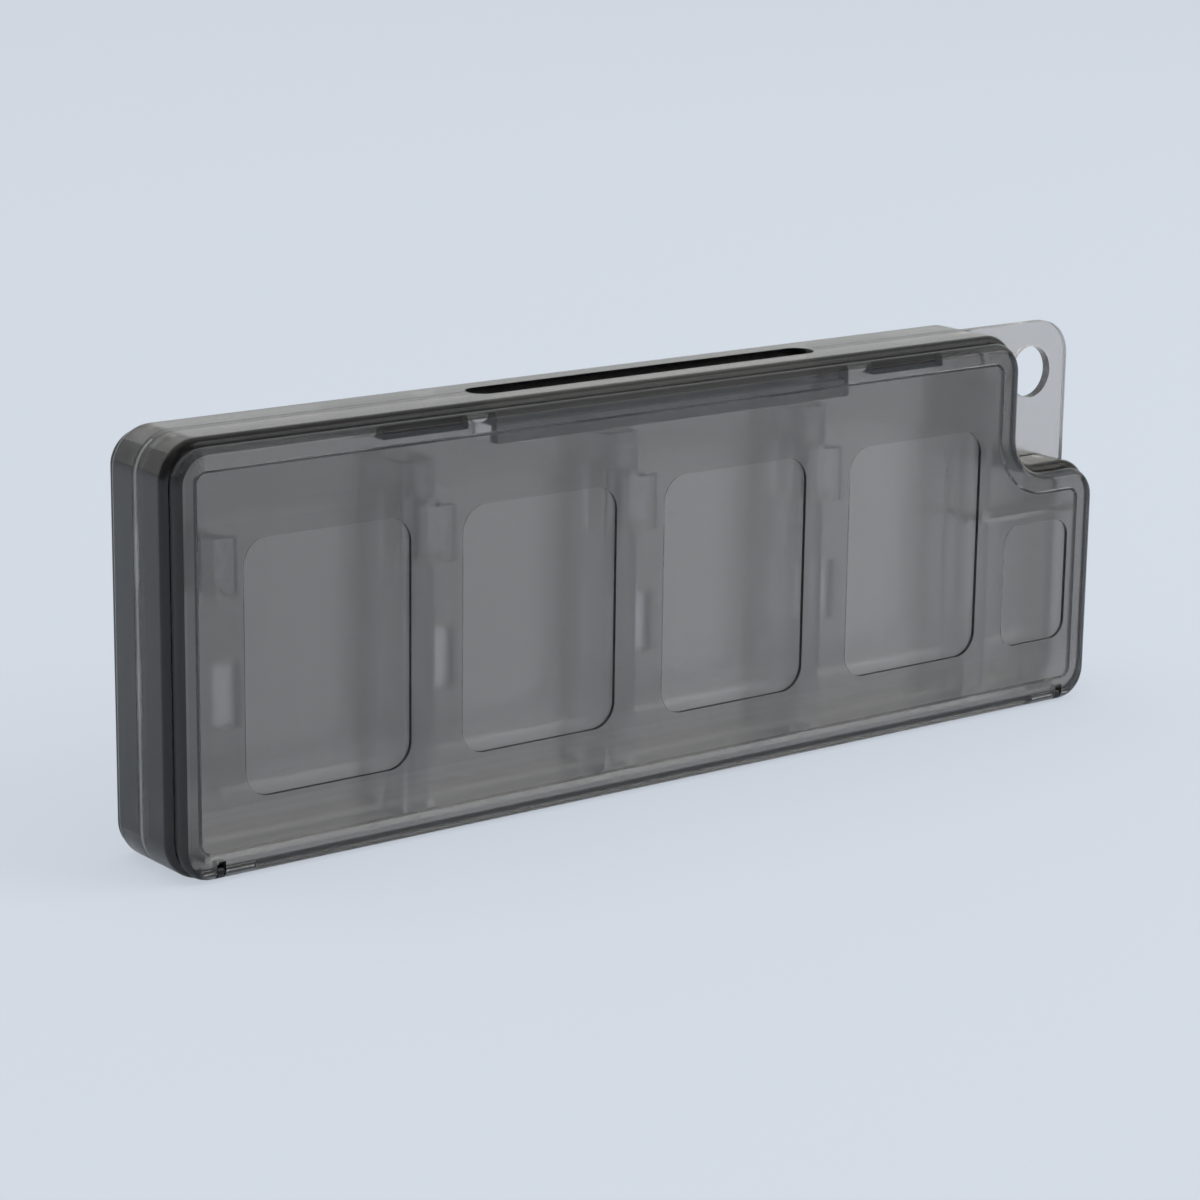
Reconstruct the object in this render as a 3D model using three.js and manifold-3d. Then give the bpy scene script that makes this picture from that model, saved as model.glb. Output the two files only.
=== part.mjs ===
// Double-sided card case: a card tray clamped between two frames, with a hinged lid on each side.
// Millimetres, +X along the length, +Y to the rear, +Z up. The case stands on its long bottom edge,
// with the origin under its middle. The rear half mirrors the front half about the tray's mid-plane.

import * as THREE from 'three';
import { mergeVertices } from 'three/addons/utils/BufferGeometryUtils.js';
import Module from 'manifold-3d';

// Overall outline
const CASE_LENGTH = 146;
const CASE_HEIGHT = 52;
const CORNER_RADIUS = 5;
const NOTCH_WIDTH = 14.6;
const NOTCH_HEIGHT = 18.5;
const NOTCH_RADIUS = 5;

// Card tray and frames, counted outwards from the mid-plane
const PLATE_THICKNESS = 1.3;
const SEAM_GAP = 0.1;
const FRAME_DEPTH = 5.2;
const FRAME_WALL = 1.5;
const FRAME_EDGE_RADIUS = 1.1;

// Lanyard eyelet in the tab that fills the notch
const EYELET_RADIUS = 3.5;
const EYELET_FROM_END = 6.7;
const EYELET_FROM_TOP = 6.85;

// Release slot in the top wall
const SLOT_LENGTH = 54;
const SLOT_WIDTH = 4.4;
const SLOT_DEPTH = 6;

// Lids
const LID_INSET = 0.85;
const LID_BOTTOM = 0.25;
const LID_GAP = 0.2;
const LID_DEPTH = 1.75;
const LID_EDGE_RADIUS = 1.15;
const LID_FACE = 1.2;
const LID_RIM = 2.65;
const LID_FOOT = 3.2;

// Label recesses in the lids, in line with the cards behind them
const LABEL_DEPTH = 0.5;
const CARD_LABEL = { width: 22.95, height: 30.7, radius: 3.2 };
const MEMORY_LABEL = { width: 11.65, height: 16.65, radius: 2.4 };
const LABEL_BOTTOM = 9.4;
const CARD_FROM_END = 9.4;
const CARD_PITCH = 30.44;
const MEMORY_FROM_END = 5.6;
const MEMORY_SPACING = 4;

// Pocket rails, hooks and stops on both faces of the card tray
const RIB = 0.8;
const RIB_TOP = 45.8;
const RIB_LEAD = 2.5;
const MEMORY_RIB_LEAD = 0.9;
const POCKET_RECESS = 0.9;
const STOP_REACH = 1.25;
const TRAY_CLEARANCE = 0.3;
const CARD_STOP_GAP = 0.25;
const HOOK = { bottom: 33, height: 7, post: 1.8, lip: 1.2, lipDepth: 0.8 };
const WINDOW = { width: 3.6, height: 7.8, bottom: 16, offset: -0.4 };

// Latch flange in the middle of each lid, and a locating tongue on either side of it
const LATCH_CLEARANCE = 0.3;
const FLANGE = { length: 55.4, height: 3.3, depth: 1.2 };
const LATCH_TONGUE = { height: 1.3, reach: 3.2 };
const SIDE_TONGUE = { length: 12.2, height: 1, reach: 2.6, centre: 37.9 };

// Hinges: a lug on the frame stands in a slot of the lid, and a pin runs through both
const HINGE_FROM_FRAME = 1.05;
const HINGE_HEIGHT = 1.1;
const BARREL_RADIUS = 0.85;
const LUG_FROM_END = 5.9;
const LUG_THICKNESS = 0.8;
const LUG_RADIUS = 0.8;
const LUG_ROOT_HEIGHT = 1.1;
const LUG_ROOT_DEPTH = 1.2;
const LUG_SLOT_WIDTH = 1.2;
const LUG_SLOT_HEIGHT = 2.5;
const PIN_RADIUS = 0.4;
const PIN_CLEARANCE = 0.08;
const PIN_IN_CORNER = 1.7;
const PIN_IN_BARREL = 4.1;

// Facets
const ARC_STEPS = 4;
const EDGE_STEPS = 4;
const ROUND_SEGMENTS = 20;
const OVERCUT = 1;

// Planes that follow from the sizes above
const LEFT = -CASE_LENGTH / 2;
const RIGHT = CASE_LENGTH / 2;
const PLATE_FACE = PLATE_THICKNESS / 2;
const FRAME_SEAM = PLATE_FACE + SEAM_GAP;
const FRAME_FACE = FRAME_SEAM + FRAME_DEPTH;
const LID_INNER = FRAME_FACE + LID_GAP;
const LID_OUTER = LID_INNER + LID_DEPTH;
const LID_CAVITY = LID_OUTER - LID_FACE;
const HINGE_Y = FRAME_FACE + HINGE_FROM_FRAME;
const RIB_REACH = FRAME_FACE - POCKET_RECESS;
const TONGUE_TOP = CASE_HEIGHT - FRAME_WALL - LATCH_CLEARANCE;

const wasm = await Module();
wasm.setup();

// Turns a closed geometry into a solid that can be joined and cut.
function solid(geometry) {
  const bare = geometry.index ? geometry.toNonIndexed() : geometry.clone();
  bare.deleteAttribute('normal');
  bare.deleteAttribute('uv');
  const merged = mergeVertices(bare, 1e-5);
  return new wasm.Manifold(new wasm.Mesh({
    numProp: 3,
    vertProperties: new Float32Array(merged.attributes.position.array),
    triVerts: new Uint32Array(merged.index.array),
  }));
}

// Turns a solid back into a geometry with flat normals.
function geometryOf(body) {
  const mesh = body.getMesh();
  const geometry = new THREE.BufferGeometry();
  geometry.setAttribute('position', new THREE.BufferAttribute(new Float32Array(mesh.vertProperties), 3));
  geometry.setIndex(new THREE.BufferAttribute(new Uint32Array(mesh.triVerts), 1));
  const flat = geometry.toNonIndexed();
  flat.computeVertexNormals();
  return flat;
}

function union(bodies) {
  return bodies.reduce((whole, body) => whole.add(body));
}

function cut(body, cutters) {
  return cutters.reduce((left, cutter) => left.subtract(cutter), body);
}

// A box between two corners.
function box(x0, x1, y0, y1, z0, z1) {
  const geometry = new THREE.BoxGeometry(x1 - x0, y1 - y0, z1 - z0);
  geometry.translate((x0 + x1) / 2, (y0 + y1) / 2, (z0 + z1) / 2);
  return solid(geometry);
}

// A round bar along X, such as a pin or its bore.
function barAlongX(x0, x1, y, z, radius) {
  const geometry = new THREE.CylinderGeometry(radius, radius, x1 - x0, ROUND_SEGMENTS);
  geometry.rotateZ(Math.PI / 2);
  geometry.translate((x0 + x1) / 2, y, z);
  return geometry;
}

// The case's outline in the XZ plane, drawn in by inset, with the step for the tab at the top right.
function caseOutline(inset, bottom = inset) {
  const left = LEFT + inset;
  const right = RIGHT - inset;
  const top = CASE_HEIGHT - inset;
  const step = RIGHT - NOTCH_WIDTH - inset;
  const shelf = CASE_HEIGHT - NOTCH_HEIGHT - inset;
  const convex = CORNER_RADIUS - inset;
  const concave = NOTCH_RADIUS + inset;
  const path = new THREE.Path();
  path.moveTo(left + convex, bottom);
  path.absarc(right - convex, bottom + convex, convex, -Math.PI / 2, 0);
  path.absarc(right - convex, shelf - convex, convex, 0, Math.PI / 2);
  path.absarc(step + concave, shelf + concave, concave, -Math.PI / 2, -Math.PI, true);
  path.absarc(step - convex, top - convex, convex, 0, Math.PI / 2);
  path.absarc(left + convex, top - convex, convex, Math.PI / 2, Math.PI);
  path.absarc(left + convex, bottom + convex, convex, Math.PI, Math.PI * 1.5);
  return tidyLoop(path.getPoints(ARC_STEPS));
}

// A rounded rectangle in the XZ plane.
function roundedRectangle(x0, x1, z0, z1, radius) {
  const path = new THREE.Path();
  path.moveTo(x0 + radius, z0);
  path.absarc(x1 - radius, z0 + radius, radius, -Math.PI / 2, 0);
  path.absarc(x1 - radius, z1 - radius, radius, 0, Math.PI / 2);
  path.absarc(x0 + radius, z1 - radius, radius, Math.PI / 2, Math.PI);
  path.absarc(x0 + radius, z0 + radius, radius, Math.PI, Math.PI * 1.5);
  return tidyLoop(path.getPoints(ARC_STEPS));
}

// Drops points that repeat the one before them, round the whole loop.
function tidyLoop(points) {
  return points.filter((point, i) => point.distanceTo(points.at(i - 1)) > 1e-6);
}

// Skins a stack of like outlines, each at its own Y, into one closed body.
function loft(rings) {
  const count = rings[0].points.length;
  const positions = rings.flatMap(({ points, y }) => points.flatMap((p) => [p.x, y, p.y]));
  const indices = [];
  for (let ring = 0; ring + 1 < rings.length; ring += 1) {
    for (let i = 0; i < count; i += 1) {
      const next = (i + 1) % count;
      const a = ring * count + i;
      const b = ring * count + next;
      indices.push(a, b, b + count, a, b + count, a + count);
    }
  }
  const last = (rings.length - 1) * count;
  for (const [a, b, c] of THREE.ShapeUtils.triangulateShape(rings[0].points, [])) indices.push(a, c, b);
  for (const [a, b, c] of THREE.ShapeUtils.triangulateShape(rings.at(-1).points, [])) {
    indices.push(last + a, last + b, last + c);
  }
  const geometry = new THREE.BufferGeometry();
  geometry.setAttribute('position', new THREE.Float32BufferAttribute(positions, 3));
  geometry.setIndex(indices);
  return solid(facingOut(geometry));
}

// Turns every triangle round if the geometry's volume comes out negative.
function facingOut(geometry) {
  const position = geometry.attributes.position;
  const index = geometry.index.array;
  const corner = [new THREE.Vector3(), new THREE.Vector3(), new THREE.Vector3()];
  let volume = 0;
  for (let i = 0; i < index.length; i += 3) {
    corner.forEach((vector, k) => vector.fromBufferAttribute(position, index[i + k]));
    volume += corner[0].dot(corner[1].clone().cross(corner[2]));
  }
  if (volume < 0) geometry.setIndex([...index].reverse());
  return geometry;
}

function prism(points, y0, y1) {
  return loft([{ points, y: y0 }, { points, y: y1 }]);
}

// Rings from a flat outer face, round an edge of the given radius, to a flat inner face.
function roundedEdgeRings(outer, inner, radius, outlineAt) {
  const rings = [];
  for (let i = 0; i <= EDGE_STEPS; i += 1) {
    const angle = (i / EDGE_STEPS) * (Math.PI / 2);
    rings.push({ points: outlineAt(radius * (1 - Math.sin(angle))), y: outer + radius * (1 - Math.cos(angle)) });
  }
  rings.push({ points: outlineAt(0), y: inner });
  return rings;
}

// The front pieces face -Y. A rear piece is the same body on the other side of the mid-plane.
function mirrored(body) {
  return body.mirror([0, 1, 0]);
}

// Where the labels and the cards behind them lie along the case: the memory card at the right-hand end,
// and as many game cards as fit before it.
const memoryLeft = RIGHT - MEMORY_FROM_END - MEMORY_LABEL.width;
const firstCardLeft = LEFT + CARD_FROM_END;
const cardRoom = memoryLeft - MEMORY_SPACING - CARD_LABEL.width - firstCardLeft;
const cardCount = Math.floor(cardRoom / CARD_PITCH) + 1;
const cardLefts = Array.from({ length: cardCount }, (_, i) => firstCardLeft + i * CARD_PITCH);

// The release slot, from the tray's notch up through the top wall.
function slotCutter() {
  const half = SLOT_LENGTH / 2 - SLOT_WIDTH / 2;
  const outline = new THREE.Shape();
  outline.absarc(half, 0, SLOT_WIDTH / 2, -Math.PI / 2, Math.PI / 2);
  outline.absarc(-half, 0, SLOT_WIDTH / 2, Math.PI / 2, Math.PI * 1.5);
  const geometry = new THREE.ExtrudeGeometry(outline, {
    depth: SLOT_DEPTH + OVERCUT,
    bevelEnabled: false,
    curveSegments: ROUND_SEGMENTS / 2,
  });
  geometry.translate(0, 0, CASE_HEIGHT - SLOT_DEPTH);
  return solid(geometry);
}

// Card tray: a plate out to the case's full outline, with the eyelet tab and the pockets of both sides.
function cardTray() {
  const plate = prism(
    roundedRectangle(LEFT, RIGHT, 0, CASE_HEIGHT, CORNER_RADIUS), -PLATE_FACE, PLATE_FACE,
  );
  const inside = FRAME_WALL + TRAY_CLEARANCE;
  const bothSides = (x0, x1, reach, z0, z1) => box(x0, x1, -reach, reach, z0, z1);
  const features = [bothSides(LEFT + CORNER_RADIUS, RIGHT - CORNER_RADIUS, RIB_REACH, inside, inside + RIB)];
  const cutters = [slotCutter()];

  // A rail between two pockets stands on both faces of the plate.
  const addRail = (x0, x1) => features.push(bothSides(x0, x1, RIB_REACH, inside, RIB_TOP));

  cardLefts.forEach((left, i) => {
    const right = left + CARD_LABEL.width;
    const railRight = left - RIB_LEAD;
    const hookTop = HOOK.bottom + HOOK.height;
    const hookLeft = i > 0 ? railRight - RIB / 2 : railRight;
    if (i > 0) addRail(cardLefts[i - 1] + CARD_LABEL.width + CARD_STOP_GAP, railRight);
    features.push(
      bothSides(hookLeft, railRight + HOOK.post, RIB_REACH, HOOK.bottom, hookTop),
      bothSides(left, right, STOP_REACH, LABEL_BOTTOM - CARD_STOP_GAP - RIB, LABEL_BOTTOM - CARD_STOP_GAP),
    );
    for (const side of [-1, 1]) {
      const lip = [side * RIB_REACH, side * (RIB_REACH - HOOK.lipDepth)].sort((a, b) => a - b);
      features.push(box(hookLeft, railRight + HOOK.post + HOOK.lip, ...lip, HOOK.bottom, hookTop));
    }
    cutters.push(bothSides(left + WINDOW.offset, left + WINDOW.offset + WINDOW.width, PLATE_THICKNESS,
      WINDOW.bottom, WINDOW.bottom + WINDOW.height));
  });

  const memoryRight = memoryLeft + MEMORY_LABEL.width;
  const memoryTop = LABEL_BOTTOM + MEMORY_LABEL.height + CARD_STOP_GAP;
  const memoryRail = memoryLeft - MEMORY_RIB_LEAD;
  addRail(cardLefts.at(-1) + CARD_LABEL.width + CARD_STOP_GAP, memoryRail);
  features.push(
    bothSides(memoryRail - RIB / 2, RIGHT - inside, RIB_REACH, memoryTop, memoryTop + RIB),
    bothSides(memoryLeft, memoryRight, STOP_REACH,
      LABEL_BOTTOM - CARD_STOP_GAP - RIB, LABEL_BOTTOM - CARD_STOP_GAP),
  );

  const eyelet = new THREE.CylinderGeometry(EYELET_RADIUS, EYELET_RADIUS, PLATE_THICKNESS * 3, ROUND_SEGMENTS * 2);
  eyelet.translate(RIGHT - EYELET_FROM_END, 0, CASE_HEIGHT - EYELET_FROM_TOP);
  cutters.push(solid(eyelet));
  return cut(union([plate, ...features]), cutters);
}

// Hinge lugs stand on the frame's bottom wall, one near each end.
const lugCentres = [LEFT + LUG_FROM_END, RIGHT - LUG_FROM_END];

function hingeLug(x) {
  const x0 = x - LUG_THICKNESS / 2;
  const x1 = x + LUG_THICKNESS / 2;
  const eye = solid(barAlongX(x0, x1, -HINGE_Y, HINGE_HEIGHT, LUG_RADIUS));
  const rootBottom = HINGE_HEIGHT - LUG_RADIUS;
  const root = box(x0, x1, -HINGE_Y, LUG_ROOT_DEPTH - FRAME_FACE, rootBottom, rootBottom + LUG_ROOT_HEIGHT);
  return eye.add(root);
}

function pinBore(x0, x1) {
  return solid(barAlongX(x0, x1, -HINGE_Y, HINGE_HEIGHT, PIN_RADIUS + PIN_CLEARANCE));
}

// Frame: a ring with a rounded outer edge, its share of the release slot, and two hinge lugs.
function frame() {
  const rim = loft(roundedEdgeRings(-FRAME_FACE, -FRAME_SEAM, FRAME_EDGE_RADIUS, (inset) => caseOutline(inset)));
  const hollow = prism(caseOutline(FRAME_WALL), -FRAME_FACE - OVERCUT, -FRAME_SEAM + OVERCUT);
  const ring = cut(rim, [hollow, slotCutter()]);
  const bores = lugCentres.map((x) => pinBore(x - LUG_SLOT_WIDTH, x + LUG_SLOT_WIDTH));
  return cut(union([ring, ...lugCentres.map(hingeLug)]), bores);
}

// Each pin reaches from the lid's corner, through the lug, into the lid's barrel.
function pinSpan(x) {
  const inward = x < 0 ? 1 : -1;
  const slotSide = LUG_SLOT_WIDTH / 2;
  return [x - inward * (slotSide + PIN_IN_CORNER), x + inward * (slotSide + PIN_IN_BARREL)].sort((a, b) => a - b);
}

function hingePin(x) {
  return solid(barAlongX(...pinSpan(x), -HINGE_Y, HINGE_HEIGHT, PIN_RADIUS));
}

// The lid's section across the hinge: its inner bottom corner turns about the pin, so that it clears the frame.
function barrelCutter() {
  const length = CASE_LENGTH + 2 * OVERCUT;
  const corner = box(-length / 2, length / 2, -HINGE_Y, -LID_INNER + OVERCUT, -OVERCUT, HINGE_HEIGHT);
  return corner.subtract(solid(barAlongX(-length / 2 - OVERCUT, length / 2 + OVERCUT, -HINGE_Y, HINGE_HEIGHT,
    BARREL_RADIUS)));
}

function labelCutter(left, label) {
  const right = left + label.width;
  const outline = roundedRectangle(left, right, LABEL_BOTTOM, LABEL_BOTTOM + label.height, label.radius);
  return prism(outline, -LID_OUTER - OVERCUT, -LID_OUTER + LABEL_DEPTH);
}

// The latch flange hangs from the rim, and the tongues reach in under the frame's top wall.
function latch() {
  const flange = box(-FLANGE.length / 2, FLANGE.length / 2, -LID_INNER - LID_DEPTH / 4, -LID_INNER + FLANGE.depth,
    TONGUE_TOP - FLANGE.height, TONGUE_TOP);
  const tongue = (x0, x1, height, reach) => box(x0, x1, -LID_INNER - LID_DEPTH / 4, -FRAME_FACE + reach,
    TONGUE_TOP - height, TONGUE_TOP);
  const half = SIDE_TONGUE.length / 2;
  return union([
    flange,
    tongue(-FLANGE.length / 2, FLANGE.length / 2, LATCH_TONGUE.height, LATCH_TONGUE.reach),
    ...[-1, 1].map((side) => tongue(side * SIDE_TONGUE.centre - half, side * SIDE_TONGUE.centre + half,
      SIDE_TONGUE.height, SIDE_TONGUE.reach)),
  ]);
}

// Lid: a shallow shell with label recesses outside, a latch at the top and a barrel edge at the bottom.
function lid() {
  const lidOutline = (inset) => caseOutline(LID_INSET + inset, LID_BOTTOM + inset);
  const shell = loft(roundedEdgeRings(-LID_OUTER, -LID_INNER, LID_EDGE_RADIUS, lidOutline));
  const cavity = prism(caseOutline(LID_INSET + LID_RIM, LID_FOOT), -LID_CAVITY, -LID_INNER + OVERCUT);
  const labels = cardLefts.map((left) => labelCutter(left, CARD_LABEL));
  labels.push(labelCutter(memoryLeft, MEMORY_LABEL));
  const slots = lugCentres.map((x) => box(x - LUG_SLOT_WIDTH / 2, x + LUG_SLOT_WIDTH / 2,
    -LID_OUTER - OVERCUT, -LID_INNER + OVERCUT, -OVERCUT, LUG_SLOT_HEIGHT));
  const bores = lugCentres.map((x) => {
    const [x0, x1] = pinSpan(x);
    return pinBore(x0 - PIN_CLEARANCE, x1 + PIN_CLEARANCE);
  });
  const hollowed = cut(shell, [cavity, ...labels]);
  return cut(hollowed.add(latch()), [barrelCutter(), ...slots, ...bores]);
}

// Materials: smoke-grey clear plastic, and bright wire for the pins.
function smokePlastic(color) {
  return new THREE.MeshStandardMaterial({
    color, roughness: 0.18, metalness: 0, transparent: true, opacity: 0.55,
  });
}
const frameMaterial = smokePlastic(0x6c6d70);
const trayMaterial = smokePlastic(0x85868a);
const lidMaterial = smokePlastic(0x646569);
const pinMaterial = new THREE.MeshStandardMaterial({ color: 0x9a9ca0, roughness: 0.35, metalness: 1 });

const cardCase = new THREE.Group();

function place(name, body, material, group = cardCase) {
  const mesh = new THREE.Mesh(geometryOf(body), material);
  mesh.name = name;
  group.add(mesh);
}

place('card_tray', cardTray(), trayMaterial);
for (const [side, turn] of [['front', (body) => body], ['rear', mirrored]]) {
  place(`${side}_frame`, turn(frame()), frameMaterial);
  place(`${side}_lid`, turn(lid()), lidMaterial);
  ['left', 'right'].forEach((end, i) => {
    place(`${side}_hinge_pin_${end}`, turn(hingePin(lugCentres[i])), pinMaterial);
  });
}

export default cardCase;
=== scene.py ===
# %% [markdown]
# # A smoke-clear card case in Blender
# The case is a card tray clamped between two frames, with a hinged lid on the front and on the rear.
# All of it is clear plastic with a smoke tint, so its look comes from how light goes through real walls.
# That is why each piece is built as one closed shell with its true thickness, and not as a painted surface;
# painted shade and painted highlights on some faces come on top of it.
# The imported solids come first; each is hidden further down, where a shell takes its place.

# %% Load the imported case
import math

import bmesh
import bpy
from mathutils import Matrix, Vector


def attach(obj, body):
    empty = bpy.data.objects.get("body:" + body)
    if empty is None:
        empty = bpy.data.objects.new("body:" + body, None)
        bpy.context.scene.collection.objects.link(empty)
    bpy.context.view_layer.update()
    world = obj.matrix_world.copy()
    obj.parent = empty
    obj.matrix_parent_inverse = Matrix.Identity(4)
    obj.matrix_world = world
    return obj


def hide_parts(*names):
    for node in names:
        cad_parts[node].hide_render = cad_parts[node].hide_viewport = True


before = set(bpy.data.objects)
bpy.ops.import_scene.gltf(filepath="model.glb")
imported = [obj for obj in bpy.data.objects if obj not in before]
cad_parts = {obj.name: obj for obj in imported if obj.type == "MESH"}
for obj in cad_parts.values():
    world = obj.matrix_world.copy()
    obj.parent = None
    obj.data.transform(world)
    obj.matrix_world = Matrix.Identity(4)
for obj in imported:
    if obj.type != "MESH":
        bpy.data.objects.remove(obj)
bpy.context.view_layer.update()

# %% [markdown]
# ## The case's outline
# Every ring of the case, whether lid edge, frame wall or lid cavity, is one outline drawn in by some inset.
# It could be drawn once and offset with a modifier, but corners then drift apart from ring to ring.
# Here a function returns the outline at any inset with the same number of points, so rings can be joined
# point to point. A convex corner loses radius as it is drawn in, and the hollow of the step gains it.

# %% Outline of the case, drawn in by an inset
MM = 0.001  # Blender counts in metres
CASE_LENGTH, CASE_HEIGHT = 146 * MM, 52 * MM
CORNER_RADIUS, STEP_RADIUS = 5 * MM, 5 * MM
STEP_WIDTH, STEP_HEIGHT = 14.6 * MM, 18.5 * MM
CORNER_POINTS = 14


def arc(centre, radius, start, end, points=CORNER_POINTS):
    """Points on an arc in a plane, from one angle to another, in degrees."""
    angles = [math.radians(start + (end - start) * i / points) for i in range(points + 1)]
    return [(centre[0] + radius * math.cos(a), centre[1] + radius * math.sin(a)) for a in angles]


def case_outline(inset, foot=None):
    """The case's outline in XZ, with its foot at its own height where one is given."""
    foot = inset if foot is None else foot
    left, right, top = inset - CASE_LENGTH / 2, CASE_LENGTH / 2 - inset, CASE_HEIGHT - inset
    step, shelf = CASE_LENGTH / 2 - STEP_WIDTH - inset, CASE_HEIGHT - STEP_HEIGHT - inset
    convex, hollow = CORNER_RADIUS - inset, STEP_RADIUS + inset
    return (
        arc((right - convex, foot + convex), convex, -90, 0)
        + arc((right - convex, shelf - convex), convex, 0, 90)
        + arc((step + hollow, shelf + hollow), hollow, 270, 180)
        + arc((step - convex, top - convex), convex, 0, 90)
        + arc((left + convex, top - convex), convex, 90, 180)
        + arc((left + convex, foot + convex), convex, 180, 270)
    )


def rounded_rectangle(x0, x1, z0, z1, radius, grow=0.0):
    """A rounded rectangle in XZ, grown or shrunk on all sides."""
    x0, x1, z0, z1, radius = x0 - grow, x1 + grow, z0 - grow, z1 + grow, radius + grow
    return (
        arc((x1 - radius, z0 + radius), radius, -90, 0)
        + arc((x1 - radius, z1 - radius), radius, 0, 90)
        + arc((x0 + radius, z1 - radius), radius, 90, 180)
        + arc((x0 + radius, z0 + radius), radius, 180, 270)
    )


print("points round the case:", len(case_outline(0)))

# %% [markdown]
# ## From rings to shells
# A shell is a stack of rings skinned with quads, with flat faces at its ends, which may have holes in them.
# A Solidify modifier would give a wall too, but of one thickness, while these walls step and round over.
# Rails and hinge slots are then joined or cut with Blender's exact Boolean, which keeps the shell closed.
# Weighted normals come last: they keep the broad faces optically flat beside their small rounded edges,
# and on clear plastic a face that isn't flat shows at once.

# %% Skinning rings
def lift(points, y):
    """Puts points of the XZ plane at a depth."""
    return [Vector((x, y, z)) for x, z in points]


def quarter_round(radius, steps=4):
    """Pairs that run round an edge: how far in from the side, and how far in from the face."""
    angles = [math.pi / 2 * i / steps for i in range(steps + 1)]
    return [(radius * (1 - math.sin(a)), radius * (1 - math.cos(a))) for a in angles]


def skin(bm, rings, loop=False):
    """Joins rings of points with quads and returns their rows of vertices."""
    rows = [[bm.verts.new(co) for co in ring] for ring in rings]
    pairs = list(zip(rows, rows[1:])) + ([(rows[-1], rows[0])] if loop else [])
    for low, high in pairs:
        for i in range(len(low)):
            j = (i + 1) % len(low)
            bm.faces.new((low[i], low[j], high[j], high[i]))
    return rows


def closed_stack(bm, rings):
    """Skins rings and closes the first and the last with a flat face."""
    rows = skin(bm, rings)
    bm.faces.new(rows[0])
    bm.faces.new(rows[-1])


def cap(bm, *rows):
    """Closes a flat face: the first row is its edge, and any others are holes in it."""
    edges = [bm.edges.get((row[i], row[(i + 1) % len(row)])) for row in rows for i in range(len(row))]
    bmesh.ops.triangle_fill(bm, use_beauty=True, use_dissolve=False, edges=edges)


def to_object(name, bm):
    """Turns a finished mesh into an object of the scene."""
    bmesh.ops.recalc_face_normals(bm, faces=bm.faces)
    mesh = bpy.data.meshes.new(name)
    bm.to_mesh(mesh)
    bm.free()
    piece = bpy.data.objects.new(name, mesh)
    bpy.context.scene.collection.objects.link(piece)
    return piece


print("pairs round a small edge:", len(quarter_round(MM)))

# %% Joining, cutting and shading
SMOOTH_ANGLE = 28
FLAT_FACE_WEIGHT = 100


def evaluated_mesh(piece):
    """The piece's mesh with its modifiers applied."""
    bpy.context.view_layer.update()
    return bpy.data.meshes.new_from_object(piece.evaluated_get(bpy.context.evaluated_depsgraph_get()))


def combine(piece, tool, operation):
    """Joins a tool to a piece or cuts it out, and removes the tool."""
    boolean = piece.modifiers.new("combine", "BOOLEAN")
    boolean.operation = operation
    boolean.solver = "EXACT"
    boolean.object = tool
    boolean.use_self = True
    mesh = evaluated_mesh(piece)
    piece.modifiers.clear()
    piece.data = mesh
    bpy.data.objects.remove(tool)


def soften(piece):
    """Smooth shading up to an angle, with broad faces kept flat."""
    piece.data.shade_smooth()
    piece.data.set_sharp_from_angle(angle=math.radians(SMOOTH_ANGLE))
    weighted = piece.modifiers.new("flat_faces", "WEIGHTED_NORMAL")
    weighted.mode = "FACE_AREA"
    weighted.weight = FLAT_FACE_WEIGHT
    weighted.keep_sharp = True
    piece.data = evaluated_mesh(piece)
    piece.modifiers.clear()


def mirrored_copy(piece, name):
    """The same shell on the other side of the tray's mid-plane."""
    bm = bmesh.new()
    bm.from_mesh(piece.data)
    bmesh.ops.transform(bm, matrix=Matrix.Diagonal((1, -1, 1, 1)), verts=bm.verts)
    return to_object(name, bm)


print("edges stay sharp over", SMOOTH_ANGLE, "degrees")

# %% Moulded blocks and round bars
BLOCK_EDGE = 0.12 * MM


def once(items):
    """Each item once, in the order in which it came first."""
    return list(dict.fromkeys(items))


def add_block(bm, low, high, round_over=BLOCK_EDGE):
    """A moulded block with slightly rounded edges, or with sharp ones where it is a cutter."""
    made = bmesh.ops.create_cube(bm, size=1)["verts"]
    centre = (Vector(low) + Vector(high)) / 2
    size = Vector(high) - Vector(low)
    bmesh.ops.transform(bm, matrix=Matrix.Translation(centre) @ Matrix.Diagonal((*size, 1)), verts=made)
    edges = once(edge for vert in made for edge in vert.link_edges)
    if round_over:
        bmesh.ops.bevel(bm, geom=edges, offset=round_over, segments=2, profile=0.5, affect="EDGES")


def add_bar(bm, x0, x1, y, z, radius, chamfer=0.0, sides=32):
    """A round bar along X, closed at both ends."""
    places = [(x0, radius - chamfer), (x1, radius - chamfer)]
    if chamfer:
        places[1:1] = [(x0 + chamfer, radius), (x1 - chamfer, radius)]
    turn = [2 * math.pi * i / sides for i in range(sides)]
    rings = [[Vector((x, y + r * math.cos(t), z + r * math.sin(t))) for t in turn] for x, r in places]
    closed_stack(bm, rings)


print("moulded edges in mm:", round(BLOCK_EDGE / MM, 2))
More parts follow.
